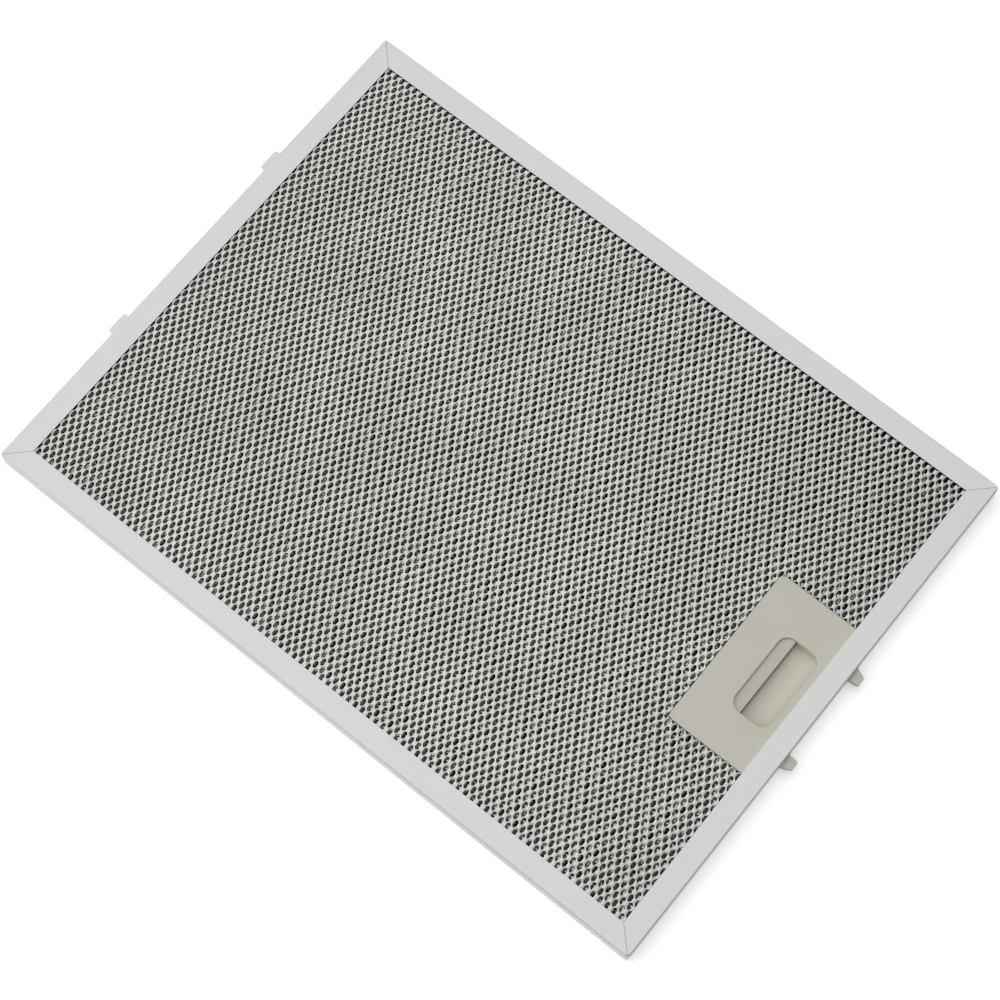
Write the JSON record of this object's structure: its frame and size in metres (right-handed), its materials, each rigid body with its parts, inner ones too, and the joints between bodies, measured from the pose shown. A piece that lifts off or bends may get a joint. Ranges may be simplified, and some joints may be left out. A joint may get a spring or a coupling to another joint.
{
  "type": "cooker hood grease filter",
  "caption": "Flat rectangular cooker hood filter: folded aluminium frame, pack of expanded aluminium mesh, finger-pull sprung latch with bolts on one short side and fixed tongues on the other.",
  "frame": {"origin": "centre of the frame on its rear face", "axes": "+Z towards the kitchen side (front face), +X towards the latch side, +Y completes the right-handed frame"},
  "size_m": [0.3791, 0.28, 0.009],
  "materials": {
    "frame_aluminium": "satin, rolled sheet",
    "mesh_aluminium": "bright, as expanded",
    "latch_plastic": "matt moulded, beige-grey",
    "slide_plastic": "matt moulded, beige-grey",
    "spring_steel": "rolled strip"
  },
  "bodies": {
    "cassette": {"frame": "frame_aluminium", "front_mesh": "mesh_aluminium", "front_mesh_side_1": "mesh_aluminium", "front_mesh_side_2": "mesh_aluminium", "inner_mesh_1": "mesh_aluminium", "inner_mesh_2": "mesh_aluminium", "inner_mesh_3": "mesh_aluminium", "inner_mesh_4": "mesh_aluminium", "rear_mesh": "mesh_aluminium", "latch_cover": "latch_plastic", "latch_tray": "latch_plastic", "latch_spring": "spring_steel"},
    "latch": {"latch_slide": "slide_plastic"}
  },
  "joints": [
    {"name": "latch_slide", "type": "slide", "parent": "cassette", "child": "latch", "axis": [-1, 0, 0], "range_m": [0, 0.006], "stiffness_N_per_m": 300, "springref_m": -0.004, "deforming": ["latch_spring"]}
  ]
}
